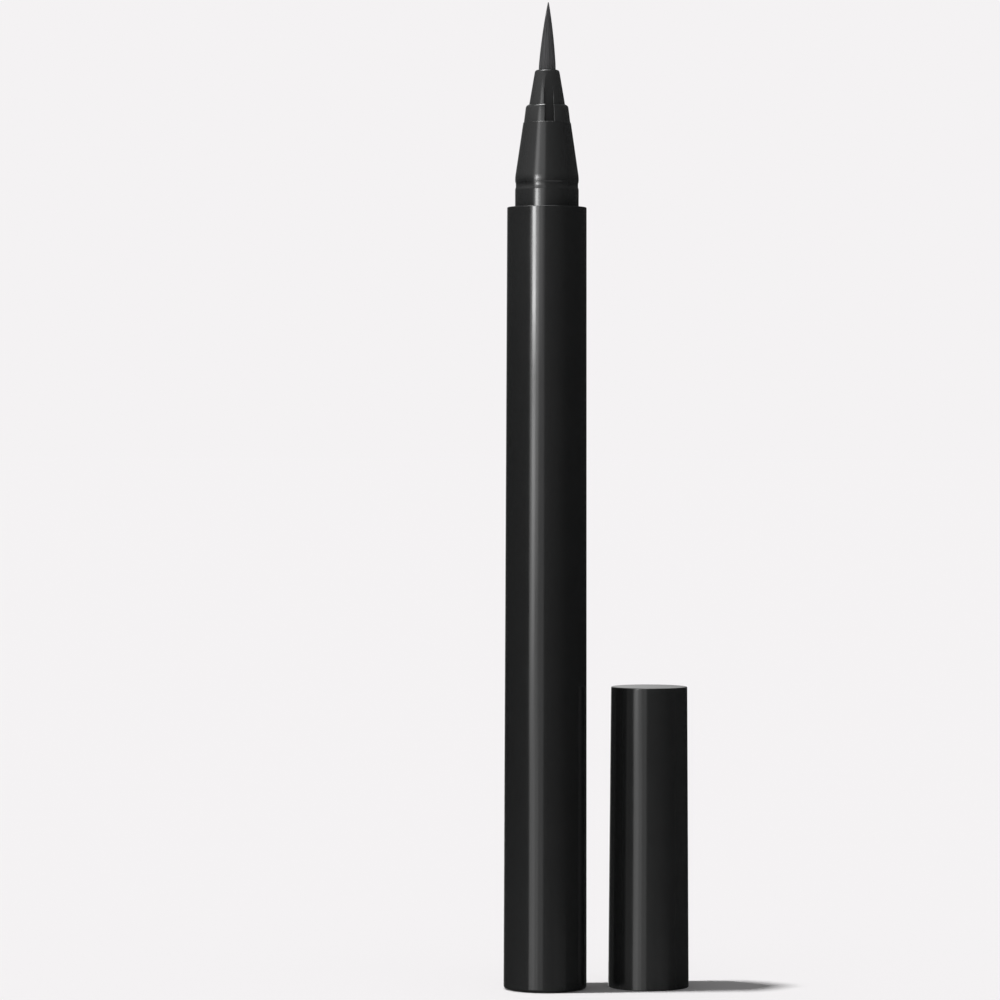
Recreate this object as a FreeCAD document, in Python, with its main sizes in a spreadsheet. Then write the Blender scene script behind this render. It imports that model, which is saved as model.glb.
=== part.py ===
import FreeCAD, Part

import os
import re

import Sketcher

# Liquid eyeliner pen, uncapped, standing on its base, with its cap standing beside it.
# Row frame: origin at the centre of the barrel's base, +Z up the pen, front of the pen towards -Y.
# Every length below is in millimetres and every direction in degrees; counts are plain numbers.
SIZES = {
    # Fits between pieces, on the radius
    "press_clearance": 0.03,
    "slide_clearance": 0.06,
    "cap_clearance": 0.08,
    # Barrel: one long tube, closed at its base by the tail plug, a little wider there than at its rim
    "barrel_length": 101.3,
    "barrel_taper": 0.5,
    "barrel_floor": 2.0,
    "rim_wall": 1.195,
    "seat_ledge": 0.155,
    "base_round": 0.4,
    "rim_round": 0.12,
    # Tail plug: the disc that is the barrel's floor, flush with its base, and a skirt pressed up the bore
    "tail_ledge": 0.3,
    "tail_edge": 0.1,
    "tail_skirt_length": 4.0,
    "tail_skirt_wall": 0.8,
    "tail_lead": 0.25,
    "foot_ring_radius": 3.0,
    "foot_ring_width": 0.5,
    "foot_ring_depth": 0.15,
    # Nose: spigot and shank hidden in the barrel, then collar, click groove and cone
    "nose_collar_dia": 8.25,
    "nose_tip_dia": 6.17,
    "spigot_length": 5.0,
    "spigot_wall": 0.5,
    "shank_length": 8.0,
    "shank_relief": 0.2,
    "collar_length": 2.02,
    "click_depth": 0.1,
    "click_slope": 0.78,
    "crest_land": 0.3,
    "cone_length": 7.09,
    "web_thickness": 1.2,
    "crest_round": 0.3,
    "seam_round": 0.12,
    # Tip sleeve: stepped cone with an air channel down its front, plugged into the nose
    "sleeve_plug_length": 5.6,
    "sleeve_skirt_length": 2.21,
    "sleeve_neck_length": 4.6,
    "sleeve_neck_dia": 4.58,
    "sleeve_shelf": 0.395,
    "sleeve_lip": 0.4,
    "sleeve_grip_length": 1.2,
    "seam_step": 0.075,
    "shelf_round": 0.28,
    "lip_round": 0.15,
    "vent_width": 1.12,
    "vent_wall": 0.675,
    "vent_depth": 0.35,
    "vent_turn": 5.5,
    "vent_hole_dia": 0.6,
    # Brush: fibres fused into a flange, bulging a little on their way to the point
    "brush_dia": 2.19,
    "brush_length": 8.76,
    "brush_side_radius": 76.0,
    "brush_point_dia": 0.12,
    "brush_flange_step": 0.255,
    "brush_flange_length": 0.7,
    "brush_socket_depth": 4.0,
    # Holder behind the brush, ink feed and fin collector
    "holder_flange_length": 0.8,
    "feed_dia": 1.4,
    "feed_tail": 3.0,
    "feed_end_gap": 0.1,
    "feed_chamfer": 0.2,
    "collector_gap": 0.05,
    "collector_core_dia": 3.0,
    "collector_flange_length": 1.2,
    "collector_boss_length": 1.0,
    "fin_thickness": 0.3,
    "fin_pitch": 0.65,
    "collector_slit": 0.5,
    # Ink tank, its plug and the ball that stirs the ink
    "tank_gap": 0.2,
    "tank_wall": 0.55,
    "tank_length": 52.0,
    "tank_lead": 0.25,
    "plug_depth": 5.0,
    "plug_flange_length": 1.0,
    "plug_core_dia": 4.0,
    "plug_end_wall": 1.6,
    "plug_dish_dia": 3.2,
    "plug_dish_depth": 0.5,
    "plug_rib_height": 0.02,
    "plug_rib_length": 0.5,
    "plug_rib_count": 2,
    "ball_dia": 3.0,
    "ball_gap": 0.02,
    # Cap shell: widest at its mouth, with a click bead and a land that keeps the inner cap in
    "cap_wall": 1.05,
    "cap_taper": 0.59,
    "cap_end_wall": 1.5,
    "cap_end_round": 0.2,
    "cap_mouth_round": 0.08,
    "cap_lead": 0.2,
    "bead_height": 0.13,
    "bead_slope": 0.35,
    "land_length": 1.2,
    "post_length": 1.0,
    "cap_gap": 3.05,
    "cap_direction": 10.0,
    # Inner cap, which seals on the cone, and its spring
    "seal_height": 8.0,
    "seal_lift": 0.8,
    "seal_lip": 0.23,
    "seal_flare": 0.27,
    "inner_skirt_length": 2.4,
    "inner_flange_step": 0.25,
    "inner_flange_length": 0.8,
    "inner_end_wall": 0.8,
    "inner_top_round": 0.5,
    "brush_headroom": 1.36,
    "inner_boss_length": 1.2,
    "spring_length": 9.7,
    "spring_wire": 0.4,
    "spring_dia": 5.6,
    "spring_turns": 6,
    # Cuts run past the solid by this much
    "cut_overrun": 1.0,
}

# Radii that follow from the sizes
COLLAR_R = "(nose_collar_dia / 2)"
SHANK_R = f"({COLLAR_R} - shank_relief)"
SOCKET_R = f"({SHANK_R} + press_clearance)"
RIM_R = f"({SOCKET_R} + rim_wall)"
BASE_R = f"({RIM_R} + barrel_taper / 2)"
BARREL_BORE_R = f"({SOCKET_R} - seat_ledge)"
TAIL_SOCKET_R = f"({BARREL_BORE_R} + tail_ledge)"
TAIL_R = f"({TAIL_SOCKET_R} - press_clearance)"
TAIL_SKIRT_R = f"({BARREL_BORE_R} - press_clearance)"
TANK_R = f"({BARREL_BORE_R} - tank_gap)"
TANK_BORE_R = f"({TANK_R} - tank_wall)"
SPIGOT_R = f"({TANK_BORE_R} - press_clearance)"
CHAMBER_R = f"({SPIGOT_R} - spigot_wall)"
COLLECTOR_R = f"({CHAMBER_R} - collector_gap)"
NOSE_TIP_R = "(nose_tip_dia / 2)"
FEED_R = "(feed_dia / 2)"
FEED_BORE_R = f"({FEED_R} + slide_clearance)"
BRUSH_R = "(brush_dia / 2)"
BRUSH_BORE_R = f"({BRUSH_R} + press_clearance)"
BRUSH_FLANGE_R = f"({BRUSH_R} + brush_flange_step)"
HOLDER_BORE_R = f"({BRUSH_FLANGE_R} + press_clearance)"
VENT_FLOOR = f"({BRUSH_BORE_R} + vent_wall)"
SLEEVE_PLUG_R = f"({VENT_FLOOR} + vent_depth)"
SLEEVE_SOCKET_R = f"({SLEEVE_PLUG_R} + press_clearance)"
VENT_HOLE_REACH = f"({SLEEVE_PLUG_R} - vent_hole_dia / 2)"
NECK_R = "(sleeve_neck_dia / 2)"
SHELF_R = f"({NECK_R} + sleeve_shelf)"
SKIRT_R = f"({NOSE_TIP_R} - seam_step)"
LIP_R = f"({BRUSH_BORE_R} + sleeve_lip)"
CAP_BORE_R = f"({COLLAR_R} + cap_clearance)"
CAP_MOUTH_R = f"({CAP_BORE_R} + cap_wall)"
CAP_END_R = f"({CAP_MOUTH_R} - cap_taper / 2)"

# Heights above the barrel's rim, which are also heights above the cap's mouth once the pen is closed
CREST = "(collar_length + 2 * click_slope + crest_land)"
NOSE_TOP = f"({CREST} + cone_length)"
SLEEVE_TOP = f"({NOSE_TOP} + sleeve_skirt_length + sleeve_neck_length)"
BRUSH_TOP = f"({SLEEVE_TOP} + brush_length)"
SLEEVE_FOOT = f"({NOSE_TOP} - sleeve_plug_length)"
SOCKET_FLOOR = f"({SLEEVE_FOOT} - holder_flange_length)"
CHAMBER_TOP = f"({SOCKET_FLOOR} - web_thickness)"
BRUSH_SEAT = f"({NOSE_TOP} + sleeve_grip_length)"
BRUSH_FOOT = f"({BRUSH_SEAT} - brush_flange_length)"
NOSE_DEPTH = "(spigot_length + shank_length)"
CHAMBER_LENGTH = f"({CHAMBER_TOP} + {NOSE_DEPTH})"

# The inner cap meets the cone at the seal height, so its rim takes the cone's radius there
CONE_SHARE = f"((seal_height - {CREST}) / cone_length)"
SEAL_R = f"({COLLAR_R} - ({COLLAR_R} - {NOSE_TIP_R}) * {CONE_SHARE})"
INNER_BORE_R = f"({SEAL_R} - seal_flare)"
INNER_R = f"({SEAL_R} + seal_lip)"
INNER_FLANGE_R = f"({INNER_R} + inner_flange_step)"
LAND_R = f"({INNER_R} + slide_clearance)"
SLIDE_R = f"({INNER_FLANGE_R} + slide_clearance)"
INNER_DEPTH = f"({BRUSH_TOP} + brush_headroom - seal_height)"
INNER_LENGTH = f"({INNER_DEPTH} + inner_end_wall)"
INNER_RIM = "(seal_height - seal_lift)"
LAND_TOP = f"({INNER_RIM} + inner_skirt_length)"
CAP_CEILING = f"({INNER_RIM} + {INNER_LENGTH} + spring_length)"
CAP_HEIGHT = f"({CAP_CEILING} + cap_end_wall)"
SPRING_POST_R = "(spring_dia / 2 - spring_wire / 2 - slide_clearance)"
CAP_REACH = f"({BASE_R} + {CAP_MOUTH_R} + cap_gap)"
CAP_X = f"({CAP_REACH} * cos(cap_direction))"
CAP_Y = f"({CAP_REACH} * sin(cap_direction))"

# Heights in the row frame of what hangs below the nose
NOSE_FOOT = f"(barrel_length - {NOSE_DEPTH})"
TANK_TOP = "(barrel_length - shank_length)"
TANK_FOOT = f"({TANK_TOP} - tank_length)"
TANK_PLUG_TOP = f"({TANK_FOOT} + plug_depth)"
FEED_FOOT = f"({NOSE_FOOT} - feed_tail)"
FEED_TOP = f"(barrel_length + {BRUSH_FOOT} + brush_socket_depth - feed_end_gap)"
DISH_SLOPE = "atan(plug_dish_depth / (plug_dish_dia / 2))"
BALL_LIFT = f"(ball_dia / 2 / cos({DISH_SLOPE}) + ball_gap)"
BALL_CENTRE = f"({TANK_PLUG_TOP} - plug_dish_depth + {BALL_LIFT})"

# The parts of a sketch's line or circle, in the order in which the sketcher numbers them
GEOMETRY_PARTS = ("whole", "start", "end", "centre")

EDGE_TOLERANCE = 1e-4
UP = FreeCAD.Vector(0, 0, 1)


def make_sheet(doc):
    """The spreadsheet that holds the driving sizes, one aliased cell each."""
    table = doc.addObject("Spreadsheet::Sheet", "sizes")
    for row, (name, number) in enumerate(SIZES.items(), start=1):
        table.set(f"A{row}", name)
        table.set(f"B{row}", str(number))
        table.setAlias(f"B{row}", name)
    doc.recompute()
    return table


document = FreeCAD.newDocument("liquid_eyeliner")
sheet = make_sheet(document)


def linked(expression):
    """The expression with each size's name pointing at its cell in the sheet."""
    return re.sub(r"[a-z]\w*_\w+", lambda name: f"sizes.{name.group()}", expression)


def value(expression):
    """What an expression over the sheet's sizes comes to now."""
    return float(sheet.evalExpression(linked(expression)))


def new_body(label, height="0", across="0", along="0", turn="0"):
    """A body with its own name, placed in the row frame by expressions."""
    body = document.addObject("PartDesign::Body", label)
    body.Label = label
    places = {"Base.x": across, "Base.y": along, "Base.z": height, "Rotation.Angle": turn}
    position = FreeCAD.Vector(value(across), value(along), value(height))
    body.Placement = FreeCAD.Placement(position, FreeCAD.Rotation(UP, value(turn)))
    for place, expression in places.items():
        if expression != "0":
            body.setExpression(f"Placement.{place}", linked(expression))
    return body


def origin_feature(body, role):
    """One of the body's own origin planes or axes."""
    return next(f for f in body.Origin.OriginFeatures if f.Role == role)


def new_sketch(body, name, plane):
    """An empty sketch on one of the body's own origin planes."""
    sketch = body.newObject("Sketcher::SketchObject", f"{body.Label}_{name}")
    sketch.AttachmentSupport = [(origin_feature(body, plane), "")]
    sketch.MapMode = "FlatFace"
    return sketch


def bind(sketch, constraint, name, expression):
    """Adds a driving constraint whose size is an expression."""
    sketch.addConstraint(constraint)
    index = sketch.ConstraintCount - 1
    sketch.renameConstraint(index, name)
    sketch.setExpression(f"Constraints.{name}", linked(expression))


def place_point(sketch, index, part_name, across, along):
    """Fixes a point of a sketch's geometry at expressions for its x and y from the sketch's origin."""
    point = GEOMETRY_PARTS.index(part_name)
    for kind, axis, expression in (("DistanceX", -2, across), ("DistanceY", -1, along)):
        if expression == "0":
            sketch.addConstraint(Sketcher.Constraint("PointOnObject", index, point, axis))
        else:
            constraint = Sketcher.Constraint(kind, -1, 1, index, point, value(expression))
            bind(sketch, constraint, f"{kind}_{index}", expression)


def side_arc(start, end, radius):
    """The arc from start to end, bulging to the right of the way from one to the other."""
    middle = (start + end) * 0.5
    chord = end - start
    inward = FreeCAD.Vector(-chord.y, chord.x, 0).normalize()
    centre = middle + inward * (radius**2 - (chord.Length / 2) ** 2) ** 0.5
    bulge = centre - inward * radius
    return Part.Arc(start, bulge, end)


def draw_outline(sketch, corners):
    """A closed outline through corners, anticlockwise, each given as expressions for its x and y.
    A third expression is the radius of the side that follows the corner."""
    points = [FreeCAD.Vector(value(c[0]), value(c[1]), 0) for c in corners]
    count = len(corners)
    for i, corner in enumerate(corners):
        start, end = points[i], points[(i + 1) % count]
        curved = len(corner) == 3
        side = side_arc(start, end, value(corner[2])) if curved else Part.LineSegment(start, end)
        sketch.addGeometry(side, False)
        if curved:
            bind(sketch, Sketcher.Constraint("Radius", i, value(corner[2])), f"side_{i}", corner[2])
    start_number, end_number = GEOMETRY_PARTS.index("start"), GEOMETRY_PARTS.index("end")
    for i in range(count):
        follower = (i + 1) % count
        sketch.addConstraint(Sketcher.Constraint("Coincident", i, end_number, follower, start_number))
    for i, corner in enumerate(corners):
        place_point(sketch, i, "start", corner[0], corner[1])


def turned(body, name, corners, feature="PartDesign::Revolution"):
    """Revolves an outline of radii and heights about the body's own axis."""
    before = body.Shape.Volume if body.Tip else 0.0
    sketch = new_sketch(body, f"{name}_outline", "XZ_Plane")
    draw_outline(sketch, corners)
    solid = body.newObject(feature, f"{body.Label}_{name}")
    solid.Profile = sketch
    solid.ReferenceAxis = (sketch, ["V_Axis"])
    document.recompute()
    if feature == "PartDesign::Groove" and solid.Shape.Volume >= before:
        raise RuntimeError(f"{solid.Name} cuts nothing")
    return solid


def draw_circle(sketch, radius, across="0", along="0"):
    """A circle of a radius about a centre, all given as expressions."""
    centre = FreeCAD.Vector(value(across), value(along), 0)
    index = sketch.addGeometry(Part.Circle(centre, UP, value(radius)))
    bind(sketch, Sketcher.Constraint("Radius", index, value(radius)), f"radius_{index}", radius)
    place_point(sketch, index, "centre", across, along)


def padded(body, name, radii, length):
    """Pads concentric circles upwards from the body's own base plane."""
    sketch = new_sketch(body, f"{name}_circles", "XY_Plane")
    for radius in radii:
        draw_circle(sketch, radius)
    pad = body.newObject("PartDesign::Pad", f"{body.Label}_{name}")
    pad.Profile = sketch
    pad.Length = value(length)
    pad.setExpression("Length", linked(length))
    document.recompute()
    return pad


def cut_upwards(body, sketch, name):
    """Pockets a sketch through everything above the body's own base plane."""
    before = body.Shape.Volume
    pocket = body.newObject("PartDesign::Pocket", f"{body.Label}_{name}")
    pocket.Profile = sketch
    pocket.Type = "ThroughAll"
    pocket.Reversed = True
    document.recompute()
    if pocket.Shape.Volume >= before:
        raise RuntimeError(f"{pocket.Name} cuts nothing")
    return pocket


def channel_sketch(body, name, width, floor, outer):
    """A straight channel on the body's front, from its floor outwards."""
    sketch = new_sketch(body, name, "XY_Plane")
    near, far = f"-{floor}", f"-({outer} + cut_overrun)"
    left, right = f"-{width} / 2", f"{width} / 2"
    draw_outline(sketch, [(left, far), (right, far), (right, near), (left, near)])
    return sketch


def edges_at(solid, radius, height):
    """The names of a solid's circular edges of that radius at that height."""
    r, z = value(radius), value(height)
    names = []
    for number, edge in enumerate(solid.Shape.Edges, start=1):
        curve = edge.Curve
        if not isinstance(curve, Part.Circle):
            continue
        if abs(curve.Radius - r) < EDGE_TOLERANCE and abs(curve.Center.z - z) < EDGE_TOLERANCE:
            names.append(f"Edge{number}")
    if not names:
        raise RuntimeError(f"{solid.Name} has no edge of radius {r:.3f} at height {z:.3f}")
    return names


def dressed(body, feature, name, amount, rings):
    """Rounds or chamfers circular edges, each given by its radius and height."""
    base = body.Tip
    size_name = "Radius" if feature == "PartDesign::Fillet" else "Size"
    names = [edge for radius, height in rings for edge in edges_at(base, radius, height)]
    dress = body.newObject(feature, f"{body.Label}_{name}")
    dress.Base = (base, names)
    setattr(dress, size_name, value(amount))
    dress.setExpression(size_name, linked(amount))
    document.recompute()
    return dress


def rounded(body, name, amount, rings):
    """Rounds circular edges."""
    return dressed(body, "PartDesign::Fillet", name, amount, rings)


def chamfered(body, name, amount, rings):
    """Chamfers circular edges."""
    return dressed(body, "PartDesign::Chamfer", name, amount, rings)


def make_barrel():
    """The outer tube: a socket for the nose at its rim, a seat for the tail plug at its base."""
    body = new_body("barrel")
    turned(
        body,
        "wall",
        [
            (TAIL_SOCKET_R, "0"),
            (BASE_R, "0"),
            (RIM_R, "barrel_length"),
            (SOCKET_R, "barrel_length"),
            (SOCKET_R, TANK_TOP),
            (BARREL_BORE_R, TANK_TOP),
            (BARREL_BORE_R, "barrel_floor"),
            (TAIL_SOCKET_R, "barrel_floor"),
        ],
    )
    rounded(body, "base_edge", "base_round", [(BASE_R, "0")])
    rounded(body, "rim_edge", "rim_round", [(RIM_R, "barrel_length")])
    return body


def make_tail_plug():
    """The plug that closes the barrel's base, with a ring groove in the face that the pen stands on."""
    body = new_body("tail_plug")
    top = "barrel_floor + tail_skirt_length"
    inside = f"({TAIL_SKIRT_R} - tail_skirt_wall)"
    turned(
        body,
        "wall",
        [
            ("0", "0"),
            (TAIL_R, "0"),
            (TAIL_R, "barrel_floor"),
            (TAIL_SKIRT_R, "barrel_floor"),
            (TAIL_SKIRT_R, top),
            (inside, top),
            (inside, "barrel_floor"),
            ("0", "barrel_floor"),
        ],
    )
    chamfered(body, "foot_edge", "tail_edge", [(TAIL_R, "0")])
    chamfered(body, "skirt_edge", "tail_lead", [(TAIL_SKIRT_R, top)])
    ring_outer = "(foot_ring_radius + foot_ring_width)"
    turned(
        body,
        "foot_ring",
        [
            ("foot_ring_radius", "0"),
            (ring_outer, "0"),
            (ring_outer, "foot_ring_depth"),
            ("foot_ring_radius", "foot_ring_depth"),
        ],
        "PartDesign::Groove",
    )
    return body


def make_nose():
    """The front moulding: spigot, shank, click groove and cone outside; collector chamber inside."""
    body = new_body("nose_cone", height=NOSE_FOOT)
    rim = NOSE_DEPTH
    groove = f"{rim} + collar_length"
    top = f"{rim} + {NOSE_TOP}"
    turned(
        body,
        "wall",
        [
            (CHAMBER_R, "0"),
            (SPIGOT_R, "0"),
            (SPIGOT_R, "spigot_length"),
            (SHANK_R, "spigot_length"),
            (SHANK_R, rim),
            (COLLAR_R, rim),
            (COLLAR_R, groove),
            (f"{COLLAR_R} - click_depth", f"{groove} + click_slope"),
            (COLLAR_R, f"{groove} + 2 * click_slope"),
            (COLLAR_R, f"{rim} + {CREST}"),
            (NOSE_TIP_R, top),
            (SLEEVE_SOCKET_R, top),
            (SLEEVE_SOCKET_R, f"{rim} + {SOCKET_FLOOR}"),
            (FEED_BORE_R, f"{rim} + {SOCKET_FLOOR}"),
            (FEED_BORE_R, f"{rim} + {CHAMBER_TOP}"),
            (CHAMBER_R, f"{rim} + {CHAMBER_TOP}"),
        ],
    )
    rounded(body, "crest_edge", "crest_round", [(COLLAR_R, f"{rim} + {CREST}")])
    rounded(body, "seam_edge", "seam_round", [(NOSE_TIP_R, top)])
    hole = new_sketch(body, "vent_hole_circle", "XY_Plane")
    across, along = f"{VENT_HOLE_REACH} * sin(vent_turn)", f"-{VENT_HOLE_REACH} * cos(vent_turn)"
    draw_circle(hole, "vent_hole_dia / 2", across, along)
    cut_upwards(body, hole, "vent_hole")
    return body


def make_sleeve():
    """The stepped tip that grips the brush, with the air channel down its front."""
    body = new_body("tip_sleeve", height=f"barrel_length + {SLEEVE_FOOT}", turn="vent_turn")
    seam = "sleeve_plug_length"
    shelf = f"{seam} + sleeve_skirt_length"
    top = f"{shelf} + sleeve_neck_length"
    turned(
        body,
        "wall",
        [
            (HOLDER_BORE_R, "0"),
            (SLEEVE_PLUG_R, "0"),
            (SLEEVE_PLUG_R, seam),
            (SKIRT_R, seam),
            (SHELF_R, shelf),
            (NECK_R, shelf),
            (LIP_R, top),
            (BRUSH_BORE_R, top),
            (BRUSH_BORE_R, f"{seam} + sleeve_grip_length"),
            (HOLDER_BORE_R, f"{seam} + sleeve_grip_length"),
        ],
    )
    rounded(body, "shelf_edge", "shelf_round", [(SHELF_R, shelf)])
    rounded(body, "lip_edge", "lip_round", [(LIP_R, top)])
    channel = channel_sketch(body, "vent_channel_outline", "vent_width", VENT_FLOOR, SKIRT_R)
    cut_upwards(body, channel, "vent_channel")
    return body


def make_brush():
    """The fibre brush: fused flange and root, then the free fibres drawn to a point."""
    body = new_body("brush_tip", height=f"barrel_length + {BRUSH_FOOT}")
    free = f"brush_flange_length + {SLEEVE_TOP} - {BRUSH_SEAT}"
    turned(
        body,
        "fibres",
        [
            (FEED_BORE_R, "0"),
            (BRUSH_FLANGE_R, "0"),
            (BRUSH_FLANGE_R, "brush_flange_length"),
            (BRUSH_R, "brush_flange_length"),
            (BRUSH_R, free, "brush_side_radius"),
            ("brush_point_dia / 2", f"{free} + brush_length"),
            ("0", f"{free} + brush_length"),
            ("0", "brush_socket_depth"),
            (FEED_BORE_R, "brush_socket_depth"),
        ],
    )
    return body


def make_holder():
    """The flanged tube that keeps the brush pushed forwards in its sleeve."""
    body = new_body("brush_holder", height=f"barrel_length + {SOCKET_FLOOR}", turn="vent_turn")
    turned(
        body,
        "tube",
        [
            (FEED_BORE_R, "0"),
            (SLEEVE_PLUG_R, "0"),
            (SLEEVE_PLUG_R, "holder_flange_length"),
            (BRUSH_FLANGE_R, "holder_flange_length"),
            (BRUSH_FLANGE_R, f"{BRUSH_FOOT} - {SOCKET_FLOOR}"),
            (FEED_BORE_R, f"{BRUSH_FOOT} - {SOCKET_FLOOR}"),
        ],
    )
    notch = channel_sketch(body, "vent_notch_outline", "vent_width", VENT_FLOOR, SLEEVE_PLUG_R)
    cut_upwards(body, notch, "vent_notch")
    return body


def make_feed():
    """The fibre rod that carries ink from the tank, through the collector, into the brush."""
    body = new_body("feed_core", height=FEED_FOOT)
    length = f"{FEED_TOP} - {FEED_FOOT}"
    padded(body, "rod", [FEED_R], length)
    chamfered(body, "ends", "feed_chamfer", [(FEED_R, "0"), (FEED_R, length)])
    return body


def make_collector():
    """The comb that holds back surplus ink: a slit core with a row of thin fins."""
    body = new_body("ink_collector", height=NOSE_FOOT)
    core = "collector_core_dia / 2"
    turned(
        body,
        "core",
        [
            (FEED_BORE_R, "0"),
            (COLLECTOR_R, "0"),
            (COLLECTOR_R, "collector_flange_length"),
            (core, "collector_flange_length"),
            (core, CHAMBER_LENGTH),
            (FEED_BORE_R, CHAMBER_LENGTH),
        ],
    )
    first = "collector_flange_length + fin_pitch - fin_thickness"
    fin = turned(
        body,
        "fin",
        [
            (FEED_BORE_R, first),
            (COLLECTOR_R, first),
            (COLLECTOR_R, f"{first} + fin_thickness"),
            (FEED_BORE_R, f"{first} + fin_thickness"),
        ],
    )
    room = f"({CHAMBER_LENGTH} - collector_boss_length - ({first} + fin_thickness))"
    row = body.newObject("PartDesign::LinearPattern", "ink_collector_fins")
    row.Originals = [fin]
    row.Direction = (origin_feature(body, "Z_Axis"), [""])
    row.Length = value(f"floor({room} / fin_pitch) * fin_pitch")
    row.setExpression("Length", linked(f"floor({room} / fin_pitch) * fin_pitch"))
    row.Occurrences = round(value(f"floor({room} / fin_pitch) + 1"))
    row.setExpression("Occurrences", linked(f"floor({room} / fin_pitch) + 1"))
    body.Tip = row
    document.recompute()
    slit = channel_sketch(body, "slit_outline", "collector_slit", FEED_R, COLLECTOR_R)
    cut_upwards(body, slit, "slit")
    return body


def make_tank():
    """The ink tank, an open tube pushed over the nose's spigot."""
    body = new_body("ink_tank", height=TANK_FOOT)
    padded(body, "tube", [TANK_R, TANK_BORE_R], "tank_length")
    chamfered(body, "lead_in", "tank_lead", [(TANK_BORE_R, "tank_length"), (TANK_BORE_R, "0")])
    return body


def make_plug():
    """The tank's plug: hollow skirt with two sealing ribs, flange, and a dish where the ball rests."""
    body = new_body("tank_plug", height=f"{TANK_FOOT} - plug_flange_length")
    skirt = f"({TANK_BORE_R} - press_clearance)"
    shoulder = "plug_flange_length"
    top = "(plug_flange_length + plug_depth)"
    core_roof = f"({top} - plug_end_wall)"
    turned(
        body,
        "skirt",
        [
            ("plug_core_dia / 2", "0"),
            (TANK_R, "0"),
            (TANK_R, shoulder),
            (skirt, shoulder),
            (skirt, top),
            ("plug_dish_dia / 2", top),
            ("0", f"{top} - plug_dish_depth"),
            ("0", core_roof),
            ("plug_core_dia / 2", core_roof),
        ],
    )
    rib = f"({skirt} + plug_rib_height)"
    inside = f"({skirt} - plug_rib_height)"
    space = "((plug_depth - plug_rib_count * plug_rib_length) / (plug_rib_count + 1))"
    for number in range(round(value("plug_rib_count"))):
        low = f"({shoulder} + {space} + {number} * ({space} + plug_rib_length))"
        high = f"({low} + plug_rib_length)"
        turned(body, f"rib_{number}", [(inside, low), (rib, low), (rib, high), (inside, high)])
    return body


def make_ball():
    """The loose steel ball that stirs the ink when the pen is shaken."""
    ball = document.addObject("Part::Sphere", "mixing_ball")
    ball.Label = "mixing_ball"
    ball.Radius = value("ball_dia / 2")
    ball.setExpression("Radius", linked("ball_dia / 2"))
    ball.Placement.Base.z = value(BALL_CENTRE)
    ball.setExpression("Placement.Base.z", linked(BALL_CENTRE))
    return ball


def make_cap_shell():
    """The cap's shell: click bead, land that keeps the inner cap in, post that centres the spring."""
    body = new_body("cap_shell", across=CAP_X, along=CAP_Y)
    bead = "(collar_length + click_slope)"
    land_foot = f"({LAND_TOP} - land_length)"
    lead = f"({CAP_BORE_R} - {LAND_R})"
    turned(
        body,
        "wall",
        [
            (CAP_BORE_R, "0"),
            (CAP_MOUTH_R, "0"),
            (CAP_END_R, CAP_HEIGHT),
            ("0", CAP_HEIGHT),
            ("0", f"{CAP_CEILING} - post_length"),
            (SPRING_POST_R, f"{CAP_CEILING} - post_length"),
            (SPRING_POST_R, CAP_CEILING),
            (SLIDE_R, CAP_CEILING),
            (SLIDE_R, LAND_TOP),
            (LAND_R, LAND_TOP),
            (LAND_R, land_foot),
            (CAP_BORE_R, f"{land_foot} - {lead}"),
            (CAP_BORE_R, f"{bead} + bead_slope"),
            (f"{CAP_BORE_R} - bead_height", bead),
            (CAP_BORE_R, f"{bead} - bead_slope"),
        ],
    )
    rounded(body, "end_edge", "cap_end_round", [(CAP_END_R, CAP_HEIGHT)])
    rounded(body, "mouth_edge", "cap_mouth_round", [(CAP_MOUTH_R, "0")])
    chamfered(body, "mouth_lead", "cap_lead", [(CAP_BORE_R, "0")])
    return body


def make_inner_cap():
    """The inner cap: lip that seals on the cone, flange that keeps it in, boss that centres the spring."""
    body = new_body("inner_cap", height=INNER_RIM, across=CAP_X, along=CAP_Y)
    skirt = "inner_skirt_length"
    turned(
        body,
        "wall",
        [
            (SEAL_R, "0"),
            (INNER_R, "0"),
            (INNER_R, skirt),
            (INNER_FLANGE_R, skirt),
            (INNER_FLANGE_R, f"{skirt} + inner_flange_length"),
            (INNER_R, f"{skirt} + inner_flange_length"),
            (INNER_R, INNER_LENGTH),
            (SPRING_POST_R, INNER_LENGTH),
            (SPRING_POST_R, f"{INNER_LENGTH} + inner_boss_length"),
            ("0", f"{INNER_LENGTH} + inner_boss_length"),
            ("0", INNER_DEPTH),
            (INNER_BORE_R, INNER_DEPTH),
            (INNER_BORE_R, skirt),
        ],
    )
    rounded(body, "top_edge", "inner_top_round", [(INNER_R, INNER_LENGTH)])
    return body


def make_spring():
    """The coil spring that presses the inner cap down on its land."""
    foot = f"{INNER_RIM} + {INNER_LENGTH}"
    body = new_body("inner_cap_spring", height=foot, across=CAP_X, along=CAP_Y)
    wire = new_sketch(body, "wire_circle", "XZ_Plane")
    draw_circle(wire, "spring_wire / 2", "spring_dia / 2", "spring_wire / 2")
    coils = body.newObject("PartDesign::AdditiveHelix", "inner_cap_spring_coils")
    coils.Profile = wire
    coils.ReferenceAxis = (wire, ["V_Axis"])
    coils.Mode = "height-turns-angle"
    coils.Height = value("spring_length - spring_wire")
    coils.setExpression("Height", linked("spring_length - spring_wire"))
    coils.Turns = value("spring_turns")
    coils.setExpression("Turns", linked("spring_turns"))
    document.recompute()
    return body


def check(pieces):
    """Stops the build if any object failed or any piece has no valid solid."""
    for item in document.Objects:
        if {"Invalid", "Error"} & set(item.State):
            raise RuntimeError(f"{item.Name} failed: {item.State}")
    for piece in pieces:
        if piece.Shape.isNull() or not piece.Shape.isValid() or not piece.Shape.Solids:
            raise RuntimeError(f"{piece.Label} has no valid solid")


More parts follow.
